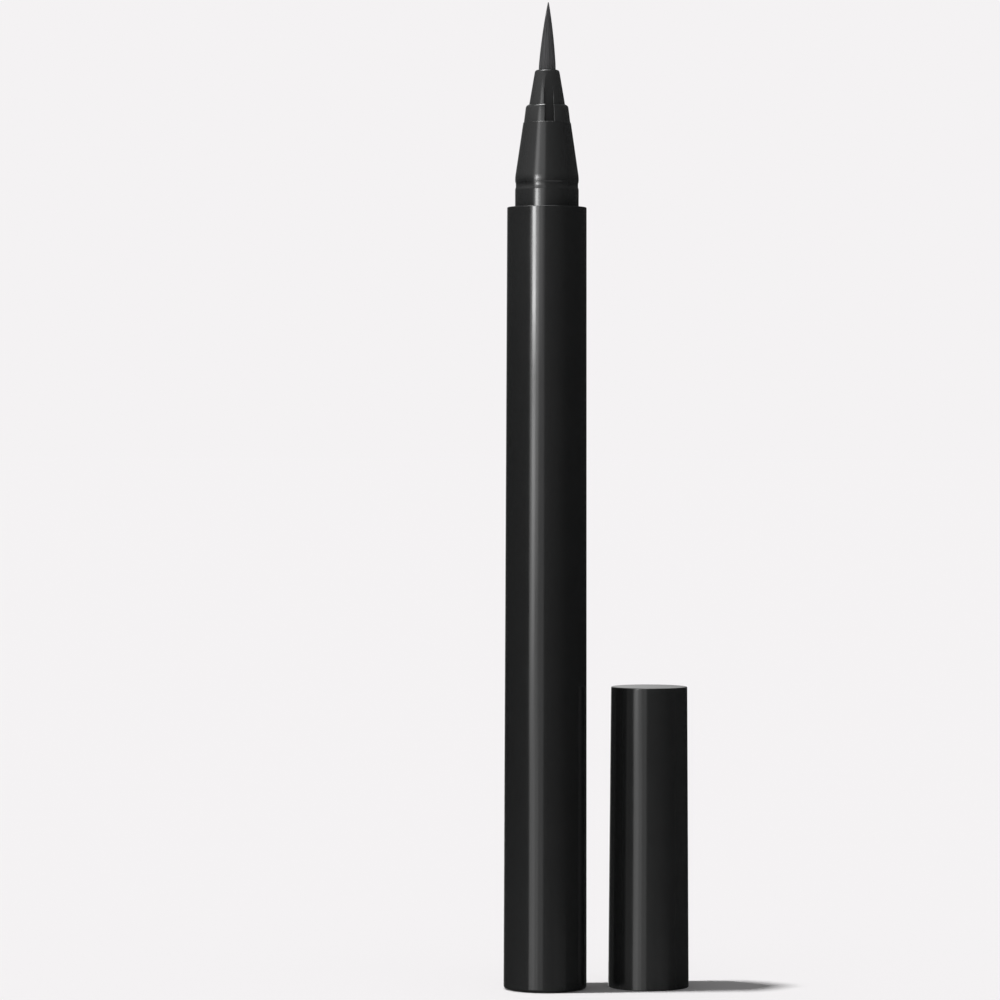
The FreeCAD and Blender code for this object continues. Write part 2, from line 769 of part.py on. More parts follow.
def main():
    pieces = [
        make_barrel(),
        make_tail_plug(),
        make_nose(),
        make_sleeve(),
        make_brush(),
        make_holder(),
        make_feed(),
        make_collector(),
        make_tank(),
        make_plug(),
        make_ball(),
        make_cap_shell(),
        make_inner_cap(),
        make_spring(),
    ]
    document.recompute()
    check(pieces)
    os.makedirs("parts", exist_ok=True)
    for piece in pieces:
        piece.Shape.exportStep(os.path.join("parts", f"{piece.Label}.step"))
        print(f"{piece.Label}: {piece.Shape.Volume:.2f} mm3, {len(piece.Shape.Solids)} solid")


main()
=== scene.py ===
import math

import bmesh
import bpy
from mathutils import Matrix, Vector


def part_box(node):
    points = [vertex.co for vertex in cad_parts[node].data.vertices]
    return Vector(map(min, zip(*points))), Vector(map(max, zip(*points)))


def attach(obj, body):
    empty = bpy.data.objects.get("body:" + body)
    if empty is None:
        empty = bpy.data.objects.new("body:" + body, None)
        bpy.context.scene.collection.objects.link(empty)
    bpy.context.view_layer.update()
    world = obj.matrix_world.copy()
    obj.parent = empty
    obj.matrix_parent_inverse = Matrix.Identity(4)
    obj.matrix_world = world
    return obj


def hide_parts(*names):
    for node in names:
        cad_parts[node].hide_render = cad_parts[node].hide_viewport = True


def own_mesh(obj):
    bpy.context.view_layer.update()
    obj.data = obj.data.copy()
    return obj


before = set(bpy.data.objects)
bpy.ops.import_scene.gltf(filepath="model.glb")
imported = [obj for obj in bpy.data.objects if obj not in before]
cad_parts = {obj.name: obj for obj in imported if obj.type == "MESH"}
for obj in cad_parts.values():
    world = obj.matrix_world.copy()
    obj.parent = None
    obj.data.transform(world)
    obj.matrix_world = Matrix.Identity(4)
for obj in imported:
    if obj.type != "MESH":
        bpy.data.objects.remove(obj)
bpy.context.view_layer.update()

# Lengths are in millimetres, angles in degrees, and both are turned to Blender's units where they are used
MM = 0.001
TOUCHING = 0.002
MERGE = 0.0005
SMOOTH_ANGLE = 32
ROUND_STEPS = 4

# Where the pieces stand
PEN = (0.0, 0.0)
cap_low, cap_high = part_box("cap_shell")
CAP = ((cap_low[0] + cap_high[0]) / 2 / MM, (cap_low[1] + cap_high[1]) / 2 / MM)

# Barrel: open tube with a slight draft
BARREL_TOP = 101.3
BARREL_FOOT_R = 5.3955
BARREL_RIM_R = 5.15
BARREL_SIDES = 160
SOCKET_R = 3.955
SOCKET_FLOOR = 93.3
BORE_R = 3.8
TAIL_SEAT = 2.0
TAIL_SOCKET_R = 4.1
FOOT_ROUND = 0.4
FOOT_STEPS = 6
RIM_ROUND = 0.12

# Tail plug
TAIL_SIDES = 144
TAIL_R = 4.07
TAIL_EDGE = 0.1
TAIL_SKIRT_R = 3.77
TAIL_BORE_R = 2.97
TAIL_TOP = 6.0
RING_OUT = 3.5
RING_IN = 3.0
RING_DEPTH = 0.15
GATE_R = 0.6
GATE_END_R = 0.51
GATE_DEPTH = 0.12

# Nose cone
NOSE_SIDES = 144
NOSE_FOOT = 88.3
SPIGOT_R = 3.02
SPIGOT_TOP = 93.3
SHANK_R = 3.925
COLLAR_R = 4.125
COLLAR_TOP = 103.58
GROOVE_R = 4.038
GROOVE = 103.88
GROOVE_BEND = 104.22
UNDERCUT_FOOT_R = 4.053
UNDERCUT_FOOT = 104.45
UNDERCUT_TOP_R = 4.104
UNDERCUT_TOP = 104.52
CREST_FOOT = 104.82
CREST = 105.18
CREST_ROUND = 0.3
SEAM = 112.27
SEAM_R = 3.085
SEAM_ROUND = 0.09
GROOVE_ROUND = 0.05
GROOVE_STEPS = 2
SLEEVE_SOCKET_R = 2.18
SOCKET_BOTTOM = 105.87
FEED_BORE_R = 0.76
WEB_FOOT = 104.67
CHAMBER_R = 2.52
VENT_HOLE_SIDES = 64
VENT_HOLE_R = 0.3
VENT_HOLE_REACH = 1.85

# Tip sleeve
SLEEVE_SIDES = 144
SLEEVE_FOOT = 106.67
HOLDER_BORE_R = 1.38
SLEEVE_PLUG_R = 2.15
SKIRT_R = 3.01
SHELF = 114.56
SHELF_R = 2.72
NECK_R = 2.33
LIP = 119.08
LIP_R = 1.56
BRUSH_BORE_R = 1.125
GRIP = 113.47
SHELF_ROUND = 0.37
LIP_ROUND = 0.3
VENT_TURN = 5.9
VENT_WIDTH = 1.06
VENT_FLOOR = 1.8
VENT_BREAK = 0.13
VENT_FLARE = 0.6
VENT_LIFT = 0.02
VENT_SPARE = 1.0
VENT_SMOOTH_ANGLE = 60

# Brush
BRUSH_FOOT = 112.77
FLANGE_R = 1.35
FLANGE_TOP = 113.47
BRUSH_R = 1.095
BRUSH_LENGTH = 8.76
BRUSH_BULGE = 0.128
BRUSH_BEND = 0.13
BRUSH_SIDES = 64
BRUSH_SMOOTH_ANGLE = 64
POINT_R = 0.06
CORE_INSET = 0.07
CORE_POINT_R = 0.02
CORE_SHARE = 0.99

# Strands of the brush: each kind is modelled once, and the pitches make the kinds differ
STRAND_KINDS = 14
STRAND_COPIES = 5
STRAND_SIDES = 6
STRAND_STEPS = 10
STRAND_R = 0.066
STRAND_PROUD = 0.03
STRAND_ROOT = 0.264
STRAND_POINT_R = 0.015
STRAND_SHARE = 0.998
THINNEST = 0.8
THICKNESS_RANGE = 0.45
THICKNESS_PITCH = 12.9898
SHORTEST = 0.72
LENGTH_RANGE = 0.26
LENGTH_PITCH = 4.1414
FULL_LENGTH_EVERY = 3
DRIFT_RANGE = 5.0
DRIFT_PITCH = 7.233
TURN_RANGE = 0.02
TURN_PITCH = 3.7
TAPER = 0.5
TAPER_POWER = 4

# Cap shell
CAP_SIDES = 160
CAP_TOP = 39.1
CAP_END_R = 4.96
CAP_MOUTH_R = 5.252
CAP_BORE_R = 4.205
CAP_LEAD = 0.2
BEAD = 2.8
BEAD_SLOPE = 0.35
BEAD_R = 4.075
LAND_R = 3.8107
LAND_FOOT = 8.4
LAND_TOP = 9.59
SLIDE_R = 4.0607
CEILING = 37.6
POST_R = 2.54
POST_LENGTH = 1.0
CAP_END_ROUND = 0.13
CAP_MOUTH_ROUND = 0.08
CAP_MOUTH_STEPS = 3


# Modelling

def deselect():
    bpy.ops.object.select_all(action="DESELECT")


def place_in_mesh(piece):
    """Puts the object's place, turn and size into its mesh, so that the object sits at the origin."""
    deselect()
    piece.select_set(True)
    bpy.context.view_layer.objects.active = piece
    bpy.ops.object.transform_apply(location=True, rotation=True, scale=True)


def ring(name, centre, radius, height, sides):
    """A ring of vertices to start a turned piece from, left in edit mode and selected."""
    deselect()
    place = (centre[0] * MM, centre[1] * MM, height * MM)
    bpy.ops.mesh.primitive_circle_add(vertices=sides, radius=radius * MM, location=place)
    piece = bpy.context.object
    piece.name = name
    piece.data.name = name
    place_in_mesh(piece)
    bpy.ops.object.mode_set(mode="EDIT")
    bpy.ops.mesh.select_mode(type="VERT")
    bpy.ops.mesh.select_all(action="SELECT")
    return piece


def extrude_rings(centre, start, profile):
    """Extrudes the selected ring along the profile and resizes it at each height."""
    radius, height = start
    for next_radius, next_height in profile:
        rise = (next_height - height) * MM
        bpy.ops.mesh.extrude_region_move(TRANSFORM_OT_translate={"value": (0, 0, rise)})
        grow = next_radius / radius
        middle = (centre[0] * MM, centre[1] * MM, next_height * MM)
        bpy.ops.transform.resize(value=(grow, grow, 1), center_override=middle)
        radius, height = next_radius, next_height


def fill_ring():
    """Closes the selected ring with one face."""
    bpy.ops.mesh.edge_face_add()


def pick_points(piece, chosen):
    """Selects the points whose place in millimetres passes the test."""
    bpy.ops.mesh.select_mode(type="VERT")
    bpy.ops.mesh.select_all(action="DESELECT")
    mesh = bmesh.from_edit_mesh(piece.data)
    for vertex in mesh.verts:
        vertex.select_set(chosen(vertex.co / MM))
    mesh.select_flush_mode()
    bmesh.update_edit_mesh(piece.data)


def pick_ring(piece, centre, radius, height):
    """Selects the ring of edges at this radius and height."""
    bpy.ops.mesh.select_mode(type="EDGE")
    bpy.ops.mesh.select_all(action="DESELECT")
    mesh = bmesh.from_edit_mesh(piece.data)
    for edge in mesh.edges:
        on_ring = [
            abs(math.hypot(vertex.co.x - centre[0] * MM, vertex.co.y - centre[1] * MM) - radius * MM)
            < TOUCHING * MM
            and abs(vertex.co.z - height * MM) < TOUCHING * MM
            for vertex in edge.verts
        ]
        edge.select_set(all(on_ring))
    bmesh.update_edit_mesh(piece.data)


def round_ring(piece, centre, radius, height, amount, steps=ROUND_STEPS):
    """Rounds the edge at this radius and height."""
    pick_ring(piece, centre, radius, height)
    bpy.ops.mesh.bevel(offset=amount * MM, offset_type="OFFSET", segments=steps, affect="EDGES")


def close_mesh():
    """Merges the seam, points the faces outwards and leaves edit mode."""
    bpy.ops.mesh.select_mode(type="VERT")
    bpy.ops.mesh.select_all(action="SELECT")
    bpy.ops.mesh.remove_doubles(threshold=MERGE * MM)
    bpy.ops.mesh.normals_make_consistent(inside=False)
    bpy.ops.object.mode_set(mode="OBJECT")


def finish_shape(piece, sharpest=SMOOTH_ANGLE):
    """Smooths the rounds, up to this angle between two faces, and keeps the flats flat."""
    deselect()
    piece.select_set(True)
    bpy.context.view_layer.objects.active = piece
    bpy.ops.object.shade_smooth_by_angle(angle=math.radians(sharpest))
    weighted = piece.modifiers.new("flat faces", "WEIGHTED_NORMAL")
    weighted.keep_sharp = True
    bpy.ops.object.modifier_apply(modifier=weighted.name)


def cut_away(piece, cutter):
    """Cuts one shape out of the piece and drops the cutter."""
    deselect()
    piece.select_set(True)
    bpy.context.view_layer.objects.active = piece
    cut = piece.modifiers.new("cut", "BOOLEAN")
    cut.operation = "DIFFERENCE"
    cut.solver = "EXACT"
    cut.object = cutter
    bpy.ops.object.modifier_apply(modifier=cut.name)
    bpy.data.objects.remove(cutter)


def make_barrel():
    """The barrel: a long tube, rounded at its foot, barely broken at its rim."""
    start = (TAIL_SOCKET_R, 0.0)
    piece = ring("barrel_gloss", PEN, *start, BARREL_SIDES)
    wall = [
        (BARREL_FOOT_R, 0.0),
        (BARREL_RIM_R, BARREL_TOP),
        (SOCKET_R, BARREL_TOP),
        (SOCKET_R, SOCKET_FLOOR),
        (BORE_R, SOCKET_FLOOR),
        (BORE_R, TAIL_SEAT),
        (TAIL_SOCKET_R, TAIL_SEAT),
        start,
    ]
    extrude_rings(PEN, start, wall)
    close_mesh()
    bpy.ops.object.mode_set(mode="EDIT")
    round_ring(piece, PEN, BARREL_FOOT_R, 0.0, FOOT_ROUND, FOOT_STEPS)
    round_ring(piece, PEN, BARREL_RIM_R, BARREL_TOP, RIM_ROUND)
    bpy.ops.object.mode_set(mode="OBJECT")
    finish_shape(piece)
    return piece


def make_tail_plug():
    """The plug in the barrel's foot, with a ring groove and the mark of its moulding gate."""
    start = (TAIL_BORE_R, TAIL_SEAT)
    piece = ring("tail_disc", PEN, *start, TAIL_SIDES)
    wall = [
        (TAIL_BORE_R, TAIL_TOP),
        (TAIL_SKIRT_R, TAIL_TOP),
        (TAIL_SKIRT_R, TAIL_SEAT),
        (TAIL_R, TAIL_SEAT),
        (TAIL_R, TAIL_EDGE),
        (TAIL_R - TAIL_EDGE, 0.0),
        (RING_OUT, 0.0),
        (RING_OUT, RING_DEPTH),
        (RING_IN, RING_DEPTH),
        (RING_IN, 0.0),
        (GATE_R, 0.0),
        (GATE_END_R, GATE_DEPTH),
    ]
    extrude_rings(PEN, start, wall)
    fill_ring()
    pick_ring(piece, PEN, *start)
    fill_ring()
    close_mesh()
    finish_shape(piece)
    return piece


def make_hole_cutter():
    """A pin that stands where the air hole goes through the nose's web."""
    deselect()
    turn = math.radians(VENT_TURN)
    place = (
        VENT_HOLE_REACH * math.sin(turn) * MM,
        -VENT_HOLE_REACH * math.cos(turn) * MM,
        (WEB_FOOT + SOCKET_BOTTOM) / 2 * MM,
    )
    height = (SOCKET_BOTTOM - WEB_FOOT + VENT_HOLE_R) * MM
    bpy.ops.mesh.primitive_cylinder_add(
        vertices=VENT_HOLE_SIDES, radius=VENT_HOLE_R * MM, depth=height, location=place
    )
    cutter = bpy.context.object
    place_in_mesh(cutter)
    return cutter


def make_nose():
    """The nose cone: shank, collar, click groove, crest and cone outside, and its chambers inside."""
    start = (CHAMBER_R, NOSE_FOOT)
    piece = ring("nose_shell", PEN, *start, NOSE_SIDES)
    wall = [
        (SPIGOT_R, NOSE_FOOT),
        (SPIGOT_R, SPIGOT_TOP),
        (SHANK_R, SPIGOT_TOP),
        (SHANK_R, BARREL_TOP),
        (COLLAR_R, BARREL_TOP),
        (COLLAR_R, COLLAR_TOP),
        (GROOVE_R, GROOVE),
        (GROOVE_R, GROOVE_BEND),
        (UNDERCUT_FOOT_R, UNDERCUT_FOOT),
        (UNDERCUT_TOP_R, UNDERCUT_TOP),
        (COLLAR_R, CREST_FOOT),
        (COLLAR_R, CREST),
        (SEAM_R, SEAM),
        (SLEEVE_SOCKET_R, SEAM),
        (SLEEVE_SOCKET_R, SOCKET_BOTTOM),
        (FEED_BORE_R, SOCKET_BOTTOM),
        (FEED_BORE_R, WEB_FOOT),
        (CHAMBER_R, WEB_FOOT),
        start,
    ]
    extrude_rings(PEN, start, wall)
    close_mesh()
    bpy.ops.object.mode_set(mode="EDIT")
    round_ring(piece, PEN, COLLAR_R, CREST, CREST_ROUND)
    round_ring(piece, PEN, SEAM_R, SEAM, SEAM_ROUND)
    round_ring(piece, PEN, COLLAR_R, COLLAR_TOP, GROOVE_ROUND, GROOVE_STEPS)
    bpy.ops.object.mode_set(mode="OBJECT")
    cut_away(piece, make_hole_cutter())
    finish_shape(piece)
    return piece


def channel_bend(radius):
    """How far from the axis the channel's walls start to flare, where the sleeve has this radius."""
    return math.sqrt(radius ** 2 - (VENT_WIDTH / 2) ** 2) - VENT_BREAK


def start_channel(bend, height):
    """The channel's outline seen from above, with its flared mouth, left in edit mode and selected."""
    deselect()
    middle = -(VENT_FLOOR + bend) / 2
    bpy.ops.mesh.primitive_plane_add(size=MM, location=(0, middle * MM, height * MM))
    cutter = bpy.context.object
    cutter.scale = (VENT_WIDTH, bend - VENT_FLOOR, 1)
    place_in_mesh(cutter)
    bpy.ops.object.mode_set(mode="EDIT")
    pick_points(cutter, lambda point: point.y < middle)
    bpy.ops.mesh.extrude_region_move(TRANSFORM_OT_translate={"value": (0, -VENT_FLARE * MM, 0)})
    mouth = (0, -(bend + VENT_FLARE) * MM, height * MM)
    bpy.ops.transform.resize(value=(1 + 2 * VENT_FLARE / VENT_WIDTH, 1, 1), center_override=mouth)
    bpy.ops.mesh.select_all(action="SELECT")
    return cutter


def make_channel_cutter():
    """The air channel's shape: a long block, with a flared mouth that follows the sleeve's wall."""
    height = SLEEVE_FOOT - VENT_SPARE
    skirt_slope = (SKIRT_R - SHELF_R) / (SHELF - SEAM)
    bend = channel_bend(SKIRT_R + skirt_slope * (SEAM - height))
    low = VENT_FLOOR + VENT_LIFT
    run_out = (NECK_R - math.hypot(low + VENT_BREAK, VENT_WIDTH / 2)) / (NECK_R - LIP_R)
    stages = [
        (SHELF + VENT_LIFT, channel_bend(SHELF_R)),
        (SHELF + 2 * VENT_LIFT, channel_bend(NECK_R)),
        (SHELF + run_out * (LIP - SHELF), low),
        (LIP + VENT_SPARE, low),
    ]
    cutter = start_channel(bend, height)
    for top, next_bend in stages:
        bpy.ops.mesh.extrude_region_move(TRANSFORM_OT_translate={"value": (0, 0, (top - height) * MM)})
        pick_points(cutter, lambda point: point.z > top - TOUCHING and point.y < TOUCHING - low)
        bpy.ops.transform.translate(value=(0, (bend - next_bend) * MM, 0))
        pick_points(cutter, lambda point: point.z > top - TOUCHING)
        height, bend = top, next_bend
    close_mesh()
    cutter.rotation_euler.z = math.radians(VENT_TURN)
    place_in_mesh(cutter)
    return cutter


def make_sleeve():
    """The stepped tip sleeve with its air channel."""
    start = (HOLDER_BORE_R, SLEEVE_FOOT)
    piece = ring("sleeve_shell", PEN, *start, SLEEVE_SIDES)
    wall = [
        (SLEEVE_PLUG_R, SLEEVE_FOOT),
        (SLEEVE_PLUG_R, SEAM),
        (SKIRT_R, SEAM),
        (SHELF_R, SHELF),
        (NECK_R, SHELF),
        (LIP_R, LIP),
        (BRUSH_BORE_R, LIP),
        (BRUSH_BORE_R, GRIP),
        (HOLDER_BORE_R, GRIP),
        start,
    ]
    extrude_rings(PEN, start, wall)
    close_mesh()
    bpy.ops.object.mode_set(mode="EDIT")
    round_ring(piece, PEN, SHELF_R, SHELF, SHELF_ROUND)
    round_ring(piece, PEN, LIP_R, LIP, LIP_ROUND)
    bpy.ops.object.mode_set(mode="OBJECT")
    cut_away(piece, make_channel_cutter())
    finish_shape(piece, VENT_SMOOTH_ANGLE)
    return piece


def brush_radius(share):
    """The brush's radius at a share of its free length: a slightly full cone."""
    cone = BRUSH_R + (POINT_R - BRUSH_R) * share
    return cone + 4 * BRUSH_BULGE * share * (1 - share)


def make_brush_core():
    """The body of the brush under its outer fibres, down to its fused root."""
    start = (FLANGE_R, BRUSH_FOOT)
    piece = ring("brush_core", PEN, *start, BRUSH_SIDES)
    wall = [
        (FLANGE_R, FLANGE_TOP),
        (BRUSH_R, FLANGE_TOP),
        (BRUSH_R - CORE_INSET, LIP - CORE_INSET),
    ]
    for step in range(STRAND_STEPS + 1):
        share = step / STRAND_STEPS
        radius = max(brush_radius(share) - CORE_INSET, CORE_POINT_R)
        wall.append((radius, LIP + BRUSH_LENGTH * share * CORE_SHARE))
    extrude_rings(PEN, start, wall)
    fill_ring()
    pick_ring(piece, PEN, *start)
    fill_ring()
    close_mesh()
    return piece


def wave(kind, pitch):
    """A value from -1 to 1 that differs from one kind of strand to the next."""
    return math.sin(kind * pitch)


def swing(kind, pitch):
    """The same, as a share from 0 to 1."""
    return wave(kind, pitch) * 0.5 + 0.5


def strand_point(thick, end, drift, step):
    """Where a strand's middle lies at this step, and how thick it is there."""
    share = end * step / STRAND_STEPS
    radius = brush_radius(share)
    taper = 1 - TAPER * (step / STRAND_STEPS) ** TAPER_POWER
    width = max(thick * radius / BRUSH_R * taper, STRAND_POINT_R)
    reach = max(radius - width + STRAND_PROUD * radius / BRUSH_R, 0.0)
    turn = drift * share
    height = LIP + BRUSH_LENGTH * share * STRAND_SHARE
    return (reach * math.sin(turn), -reach * math.cos(turn), height), width


def start_strand(thick, root):
    """The closed lower end of a strand, left in edit mode and selected."""
    deselect()
    place = [part * MM for part in root]
    bpy.ops.mesh.primitive_circle_add(vertices=STRAND_SIDES, radius=thick * MM, location=place)
    piece = bpy.context.object
    place_in_mesh(piece)
    bpy.ops.object.mode_set(mode="EDIT")
    bpy.ops.mesh.select_all(action="SELECT")
    fill_ring()
    return piece


def make_strand(kind):
    """One bundle of fibres that runs up the brush's side and narrows to its end."""
    thick = STRAND_R * (THINNEST + THICKNESS_RANGE * swing(kind, THICKNESS_PITCH))
    end = 1.0
    if kind % FULL_LENGTH_EVERY:
        end = SHORTEST + LENGTH_RANGE * swing(kind, LENGTH_PITCH)
    drift = math.radians(DRIFT_RANGE * wave(kind, DRIFT_PITCH))
    before = (0.0, thick - BRUSH_R - STRAND_PROUD, LIP - STRAND_ROOT)
    width = thick
    piece = start_strand(thick, before)
    for step in range(1, STRAND_STEPS + 1):
        after, narrow = strand_point(thick, end, drift, step)
        move = tuple((b - a) * MM for a, b in zip(before, after))
        bpy.ops.mesh.extrude_region_move(TRANSFORM_OT_translate={"value": move})
        grow = narrow / width
        middle = tuple(part * MM for part in after)
        bpy.ops.transform.resize(value=(grow, grow, 1), center_override=middle)
        before, width = after, narrow
    bpy.ops.mesh.select_all(action="SELECT")
    bpy.ops.mesh.normals_make_consistent(inside=False)
    return piece


def bend_brush(brush):
    """Leans the free fibres a little to the cap's side, more towards the point."""
    bpy.ops.object.mode_set(mode="EDIT")
    bpy.ops.mesh.select_mode(type="VERT")
    mesh = bmesh.from_edit_mesh(brush.data)
    for step in range(STRAND_STEPS):
        height = LIP + BRUSH_LENGTH * (step + 0.5) / STRAND_STEPS
        for vertex in mesh.verts:
            vertex.select_set(vertex.co.z > height * MM)
        mesh.select_flush(True)
        bmesh.update_edit_mesh(brush.data)
        bpy.ops.transform.translate(value=(BRUSH_BEND / STRAND_STEPS * MM, 0, 0))
    bpy.ops.object.mode_set(mode="OBJECT")


def lay_strands():
    """Each kind of strand, modelled once and copied round the brush."""
    strands = []
    count = STRAND_KINDS * STRAND_COPIES
    step = math.tau / STRAND_COPIES
    for kind in range(STRAND_KINDS):
        strand = make_strand(kind)
        first_turn = math.tau * kind / count + TURN_RANGE * wave(kind, TURN_PITCH)
        bpy.ops.transform.rotate(value=first_turn, orient_axis="Z", center_override=(0, 0, 0))
        for _ in range(1, STRAND_COPIES):
            bpy.ops.mesh.duplicate()
            bpy.ops.transform.rotate(value=step, orient_axis="Z", center_override=(0, 0, 0))
        bpy.ops.object.mode_set(mode="OBJECT")
        strands.append(strand)
    return strands


def make_brush():
    """The brush: its core, and the bundles of fibres that lie around it."""
    pieces = [make_brush_core()] + lay_strands()
    deselect()
    for piece in pieces:
        piece.select_set(True)
    bpy.context.view_layer.objects.active = pieces[0]
    bpy.ops.object.join()
    brush = bpy.context.object
    brush.name = "brush_fibres"
    bend_brush(brush)
    bpy.ops.object.shade_smooth_by_angle(angle=math.radians(BRUSH_SMOOTH_ANGLE))
    return brush


def make_cap():
    """The cap: rounded end, mouth with its lead, click bead and land inside, post at its ceiling."""
    start = (POST_R, CEILING - POST_LENGTH)
    piece = ring("cap_gloss", CAP, *start, CAP_SIDES)
    lead = CAP_BORE_R - LAND_R
    wall = [
        (POST_R, CEILING),
        (SLIDE_R, CEILING),
        (SLIDE_R, LAND_TOP),
        (LAND_R, LAND_TOP),
        (LAND_R, LAND_FOOT),
        (CAP_BORE_R, LAND_FOOT - lead),
        (CAP_BORE_R, BEAD + BEAD_SLOPE),
        (BEAD_R, BEAD),
        (CAP_BORE_R, BEAD - BEAD_SLOPE),
        (CAP_BORE_R, CAP_LEAD),
        (CAP_BORE_R + CAP_LEAD, 0.0),
        (CAP_MOUTH_R, 0.0),
        (CAP_END_R, CAP_TOP),
    ]
    extrude_rings(CAP, start, wall)
    fill_ring()
    pick_ring(piece, CAP, *start)
    fill_ring()
    close_mesh()
    bpy.ops.object.mode_set(mode="EDIT")
    round_ring(piece, CAP, CAP_MOUTH_R, 0.0, CAP_MOUTH_ROUND, CAP_MOUTH_STEPS)
    round_ring(piece, CAP, CAP_END_R, CAP_TOP, CAP_END_ROUND)
    bpy.ops.object.mode_set(mode="OBJECT")
    finish_shape(piece)
    return piece


# Materials

# The middle range of a noise pattern, which holds nearly all of its values
NOISE_LOW = 0.3
NOISE_HIGH = 0.7
MOTTLE = 6.0
PLASTIC_IOR = 1.49
FIBRE_IOR = 1.53
FIBRE_RUN = 3.0
FIBRE_RELIEF = 0.02
FIBRE_STRENGTH = 0.6
STEEL_RELIEF = 0.004
STEEL_STRENGTH = 0.5

# The sRGB curve: a straight foot below the knee, and a power above it
HEX_BASE = 16
HEX_FULL = 255
SRGB_KNEE = 0.04045
SRGB_FOOT = 12.92
SRGB_OFFSET = 0.055
SRGB_POWER = 2.4


def linear_share(digits):
    """Two hex digits of an sRGB colour as a linear share."""
    share = int(digits, HEX_BASE) / HEX_FULL
    if share <= SRGB_KNEE:
        return share / SRGB_FOOT
    return ((share + SRGB_OFFSET) / (1 + SRGB_OFFSET)) ** SRGB_POWER


def colour(code):
    """An sRGB hex colour as the linear values that a shader takes."""
    return (linear_share(code[1:3]), linear_share(code[3:5]), linear_share(code[5:7]), 1.0)


def add(tree, kind, settings=None, inputs=None):
    """Adds one node, with its settings, and its inputs as values or as links from other nodes."""
    node = tree.nodes.new(kind)
    for name, setting in (settings or {}).items():
        setattr(node, name, setting)
    for name, source in (inputs or {}).items():
        if isinstance(source, bpy.types.NodeSocket):
            tree.links.new(source, node.inputs[name])
        else:
            node.inputs[name].default_value = source
    return node


def new_material(name):
    material = bpy.data.materials.new(name)
    material.use_nodes = True
    material.node_tree.nodes.clear()
    return material, material.node_tree


def per_mm(size):
    """The scale of a pattern whose features are this many millimetres across."""
    return 1 / (size * MM)


def spread(tree, source, low, high):
    """Maps a pattern's middle range to the values from low to high."""
    inputs = {
        "Value": source, "From Min": NOISE_LOW, "From Max": NOISE_HIGH, "To Min": low, "To Max": high,
    }
    return add(tree, "ShaderNodeMapRange", inputs=inputs).outputs["Result"]


def moulded(name, dark, light, rough, grain, relief):
    """A moulded plastic: colour that drifts slightly, a fine skin, and a gloss that isn't quite even.

    Rough is the lowest and highest roughness; grain and relief are the skin's width and depth.
    """
    material, tree = new_material(name)
    place = add(tree, "ShaderNodeTexCoord").outputs["Object"]
    drift = add(
        tree, "ShaderNodeTexNoise", inputs={"Vector": place, "Scale": per_mm(MOTTLE), "Detail": 2.0}
    )
    skin = add(
        tree, "ShaderNodeTexNoise", inputs={"Vector": place, "Scale": per_mm(grain), "Detail": 3.0}
    )
    tint = add(tree, "ShaderNodeMix", {"data_type": "RGBA"})
    tree.links.new(drift.outputs["Fac"], tint.inputs["Factor"])
    for socket in tint.inputs:
        if socket.type == "RGBA":
            socket.default_value = colour(dark if socket.name == "A" else light)
    tinted = [socket for socket in tint.outputs if socket.type == "RGBA"][0]
    bump = add(
        tree, "ShaderNodeBump",
        inputs={"Height": skin.outputs["Fac"], "Strength": 1.0, "Distance": relief * MM},
    )
    gloss = spread(tree, drift.outputs["Fac"], *rough)
    inputs = {
        "Base Color": tinted, "Roughness": gloss, "IOR": PLASTIC_IOR, "Normal": bump.outputs["Normal"],
    }
    shader = add(tree, "ShaderNodeBsdfPrincipled", inputs=inputs)
    add(tree, "ShaderNodeOutputMaterial", inputs={"Surface": shader.outputs["BSDF"]})
    return material


def fibre(name, dark, light, count, rough):
    """Fibres that run along the piece: this many streaks round the axis, a little uneven along it."""
    material, tree = new_material(name)
    place = add(tree, "ShaderNodeTexCoord").outputs["Object"]
    angle = add(tree, "ShaderNodeTexGradient", {"gradient_type": "RADIAL"}, {"Vector": place})
    height = add(tree, "ShaderNodeSeparateXYZ", inputs={"Vector": place})
    round_axis = add(
        tree, "ShaderNodeMath", {"operation": "MULTIPLY"}, {0: angle.outputs["Fac"], 1: float(count)}
    )
    along_axis = add(
        tree, "ShaderNodeMath", {"operation": "MULTIPLY"}, {0: height.outputs["Z"], 1: per_mm(FIBRE_RUN)}
    )
    lay = add(
        tree, "ShaderNodeCombineXYZ", inputs={"X": round_axis.outputs[0], "Y": along_axis.outputs[0]}
    )
    pattern = add(
        tree, "ShaderNodeTexNoise", inputs={"Vector": lay.outputs["Vector"], "Scale": 1.0, "Detail": 2.0}
    )
    streak = pattern.outputs["Fac"]
    tone = spread(tree, streak, 0.0, 1.0)
    shades = add(tree, "ShaderNodeValToRGB", inputs={"Fac": tone})
    shades.color_ramp.elements[0].color = colour(dark)
    shades.color_ramp.elements[1].color = colour(light)
    bump = add(
        tree, "ShaderNodeBump",
        inputs={"Height": streak, "Strength": FIBRE_STRENGTH, "Distance": FIBRE_RELIEF * MM},
    )
    gloss = spread(tree, streak, *rough)
    inputs = {
        "Base Color": shades.outputs["Color"], "Roughness": gloss, "IOR": FIBRE_IOR,
        "Normal": bump.outputs["Normal"],
    }
    shader = add(tree, "ShaderNodeBsdfPrincipled", inputs=inputs)
    add(tree, "ShaderNodeOutputMaterial", inputs={"Surface": shader.outputs["BSDF"]})
    return material


